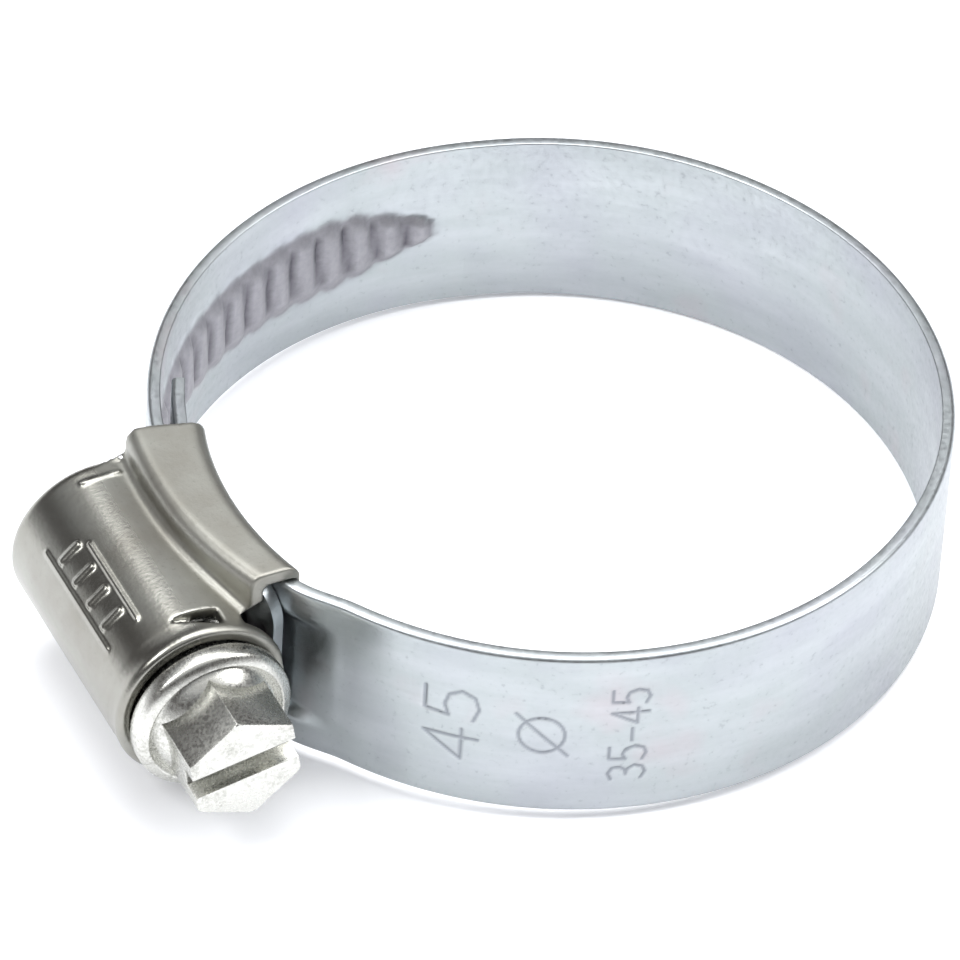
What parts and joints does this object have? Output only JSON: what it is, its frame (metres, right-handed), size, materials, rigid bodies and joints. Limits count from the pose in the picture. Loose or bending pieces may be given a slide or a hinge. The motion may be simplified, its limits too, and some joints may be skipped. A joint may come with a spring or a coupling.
{
  "type": "hose clamp",
  "caption": "Worm-drive hose clamp: a steel band that a slotted hexagon screw in a pressed housing draws tight round a hose.",
  "frame": {"origin": "centre of the ring at half the band's width", "axes": "+Z along the ring's axis; the housing is on the -X side and the screw runs along +Y from head to tip"},
  "size_m": [0.0564, 0.0468, 0.014],
  "materials": {
    "band_steel": "zinc-plated steel strip, satin",
    "housing_steel": "zinc-plated pressed steel, satin",
    "screw_steel": "zinc-plated, bright"
  },
  "bodies": {
    "housing": {"housing": "housing_steel", "band_fixed_end": "band_steel"},
    "screw": {"screw": "screw_steel"},
    "threaded_end": {"band_tail": "band_steel"},
    "band_segment_01": {"band_segment_01": "band_steel"},
    "band_segment_02": {"band_segment_02": "band_steel"},
    "band_segment_03": {"band_segment_03": "band_steel"},
    "band_segment_04": {"band_segment_04": "band_steel"},
    "band_segment_05": {"band_segment_05": "band_steel"},
    "band_segment_06": {"band_segment_06": "band_steel"},
    "band_segment_07": {"band_segment_07": "band_steel"},
    "band_segment_08": {"band_segment_08": "band_steel"},
    "band_segment_09": {"band_segment_09": "band_steel"},
    "band_segment_10": {"band_segment_10": "band_steel"}
  },
  "joints": [
    {"name": "screw_spin", "type": "hinge", "parent": "housing", "child": "screw", "pos_m": [-0.02774, -0.0025, 0], "axis": [0, 1, 0], "range_deg": [0, 5184]},
    {"name": "tail_feed", "type": "hinge", "parent": "housing", "child": "threaded_end", "pos_m": [-0.00088, -0.00031, 0], "axis": [0, 0, 1], "range_deg": [0, 72.96]},
    {"name": "flex_10", "type": "hinge", "parent": "threaded_end", "child": "band_segment_10", "pos_m": [0.00506, 0.02192, 0], "axis": [0, 0, 1], "range_deg": [-8.44, 0]},
    {"name": "flex_09", "type": "hinge", "parent": "band_segment_10", "child": "band_segment_09", "pos_m": [0.01287, 0.01845, 0], "axis": [0, 0, 1], "range_deg": [-5.85, 0]},
    {"name": "flex_08", "type": "hinge", "parent": "band_segment_09", "child": "band_segment_08", "pos_m": [0.01883, 0.01232, 0], "axis": [0, 0, 1], "range_deg": [-4.61, 0]},
    {"name": "flex_07", "type": "hinge", "parent": "band_segment_08", "child": "band_segment_07", "pos_m": [0.02206, 0.00441, 0], "axis": [0, 0, 1], "range_deg": [-5.01, 0]},
    {"name": "flex_06", "type": "hinge", "parent": "band_segment_07", "child": "band_segment_06", "pos_m": [0.02212, -0.00414, 0], "axis": [0, 0, 1], "range_deg": [-6, 0]},
    {"name": "flex_05", "type": "hinge", "parent": "band_segment_06", "child": "band_segment_05", "pos_m": [0.01898, -0.01209, 0], "axis": [0, 0, 1], "range_deg": [-6.2, 0]},
    {"name": "flex_04", "type": "hinge", "parent": "band_segment_05", "child": "band_segment_04", "pos_m": [0.0131, -0.01829, 0], "axis": [0, 0, 1], "range_deg": [-5.09, 0]},
    {"name": "flex_03", "type": "hinge", "parent": "band_segment_04", "child": "band_segment_03", "pos_m": [0.00533, -0.02186, 0], "axis": [0, 0, 1], "range_deg": [-3.39, 0]},
    {"name": "flex_02", "type": "hinge", "parent": "band_segment_03", "child": "band_segment_02", "pos_m": [-0.00321, -0.02227, 0], "axis": [0, 0, 1], "range_deg": [-2.28, 0]},
    {"name": "flex_01", "type": "hinge", "parent": "band_segment_02", "child": "band_segment_01", "pos_m": [-0.01128, -0.01947, 0], "axis": [0, 0, 1], "range_deg": [-2.03, 0]}
  ],
  "couplings": [
    {"joint": "tail_feed", "follows": "screw_spin", "ratio": 0.014035},
    {"joint": "flex_10", "follows": "screw_spin", "ratio": -0.0015902},
    {"joint": "flex_09", "follows": "screw_spin", "ratio": -0.0010905},
    {"joint": "flex_08", "follows": "screw_spin", "ratio": -0.00085054},
    {"joint": "flex_07", "follows": "screw_spin", "ratio": -0.00092773},
    {"joint": "flex_06", "follows": "screw_spin", "ratio": -0.0011186},
    {"joint": "flex_05", "follows": "screw_spin", "ratio": -0.0011579},
    {"joint": "flex_04", "follows": "screw_spin", "ratio": -0.00094317},
    {"joint": "flex_03", "follows": "screw_spin", "ratio": -0.00061475},
    {"joint": "flex_02", "follows": "screw_spin", "ratio": -0.00040141},
    {"joint": "flex_01", "follows": "screw_spin", "ratio": -0.00035229}
  ]
}
